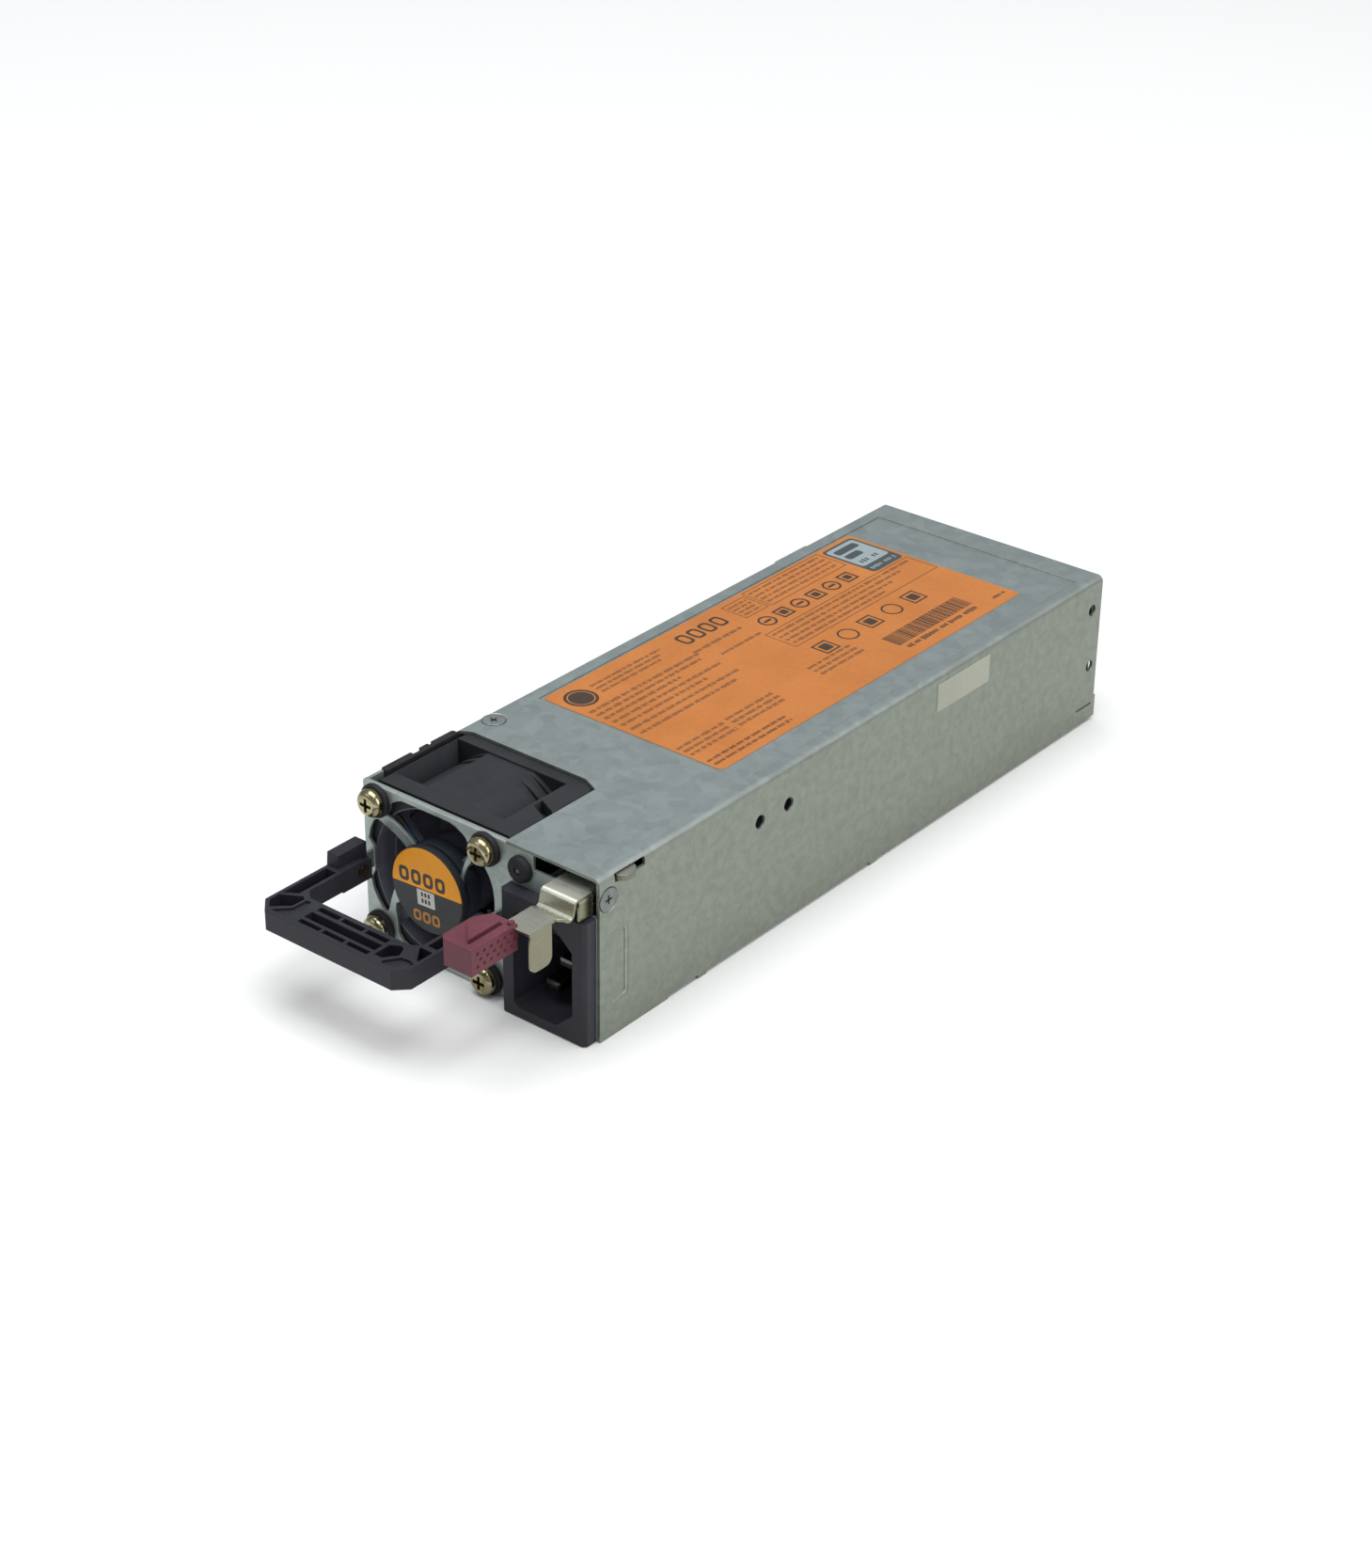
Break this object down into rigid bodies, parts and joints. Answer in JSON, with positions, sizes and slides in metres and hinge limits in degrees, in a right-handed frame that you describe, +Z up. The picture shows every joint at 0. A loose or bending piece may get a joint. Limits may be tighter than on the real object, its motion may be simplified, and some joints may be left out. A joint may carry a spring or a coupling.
{
  "type": "hot swap server power supply",
  "caption": "Slim metal power supply module with a fan at one end, a mains inlet, a swing handle, a sprung side release latch and a card-edge output at the rear.",
  "frame": {"origin": "centre of the case footprint on its underside", "axes": "+Y from the fan and inlet end towards the card-edge end (the way it slides into a bay), +X to the right seen from the fan end, +Z up"},
  "size_m": [0.0718, 0.2354, 0.0405],
  "materials": {
    "zinc_sheet": "galvanised sheet, satin",
    "panel_zinc": "galvanised sheet, satin",
    "label_film": "printed film, semi-gloss",
    "sticker_paper": "blank matte sticker",
    "screw_zinc": "bright zinc",
    "screw_brass": "yellow zinc plate",
    "fan_plastic": "glass-filled black plastic",
    "rotor_plastic": "black plastic",
    "rubber_black": "black rubber",
    "lead_pvc": "blue and yellow insulation",
    "disc_print": "printed disc, amber over dark grey",
    "black_plastic": "black moulded plastic",
    "lens_green": "clear green lens",
    "pin_steel": "nickel plate",
    "latch_steel": "nickel-plated spring steel",
    "cap_maroon": "maroon moulded plastic",
    "pin_copper": "copper-coloured steel",
    "foam_black": "black foam",
    "film_black": "insulating film",
    "board_green": "soldermask",
    "gold": "gold plate",
    "aluminium": "extruded",
    "copper": "bare copper",
    "winding": "enamelled wire",
    "tape_yellow": "polyester tape",
    "ferrite": "ferrite",
    "ceramic_blue": "disc coating",
    "can_sleeve": "capacitor sleeve",
    "can_bare": "bare can",
    "chip_black": "moulded package"
  },
  "bodies": {
    "chassis": {"top_cover": "zinc_sheet", "base_tray": "zinc_sheet", "rear_panel": "zinc_sheet", "front_panel": "panel_zinc", "rating_label": "label_film", "side_sticker": "sticker_paper", "cover_screws": "screw_zinc", "fan_frame": "fan_plastic", "fan_grommets": "rubber_black", "fan_screws": "screw_brass", "hub_puck": "rotor_plastic", "hub_disc": "disc_print", "fan_leads": "lead_pvc", "side_gasket": "foam_black", "led_bushing": "rubber_black", "led_lens": "lens_green", "inlet_body": "black_plastic", "inlet_pins": "pin_steel", "inlet_leads": "lead_pvc", "handle_pins": "pin_copper", "latch_tail": "latch_steel", "latch_rivets": "screw_zinc", "insulator_sheet": "film_black", "main_board": "board_green", "board_posts": "screw_zinc", "board_screws": "screw_zinc", "edge_contacts": "gold", "filter_choke_a": "winding", "filter_choke_b": "winding", "x_capacitor": "tape_yellow", "relay": "chip_black", "line_fuse": "pin_steel", "y_capacitors": "ceramic_blue", "bridge_heatsink": "aluminium", "bridge_rectifier": "chip_black", "boost_choke": "winding", "bulk_capacitor": "can_sleeve", "boost_heatsink": "aluminium", "boost_transistors": "chip_black", "transformer_winding": "tape_yellow", "transformer_core": "ferrite", "resonant_choke": "ferrite", "standby_transformer": "tape_yellow", "standby_core": "ferrite", "rectifier_bars": "copper", "output_choke": "winding", "output_capacitors": "can_bare", "output_busbar": "copper", "control_board": "board_green", "control_chips": "chip_black"},
    "rotor": {"fan_rotor": "rotor_plastic"},
    "handle_body": {"handle": "black_plastic"},
    "latch": {"latch_lever": "latch_steel", "latch_cap": "cap_maroon"}
  },
  "joints": [
    {"name": "fan_spin", "type": "hinge", "parent": "chassis", "child": "rotor", "pos_m": [-0.01395, -0.08225, 0.02015], "axis": [0, 1, 0], "continuous": true},
    {"name": "handle_swing", "type": "hinge", "parent": "chassis", "child": "handle_body", "pos_m": [-0.0128, -0.10295, 0.0211], "axis": [-1, 0, 0], "range_deg": [-35, 28]},
    {"name": "latch_press", "type": "hinge", "parent": "chassis", "child": "latch", "pos_m": [0.03185, -0.04795, 0.033], "axis": [0, 0, -1], "range_deg": [0, 3.5], "stiffness_Nm_per_rad": 4, "springref_deg": -1.72}
  ]
}
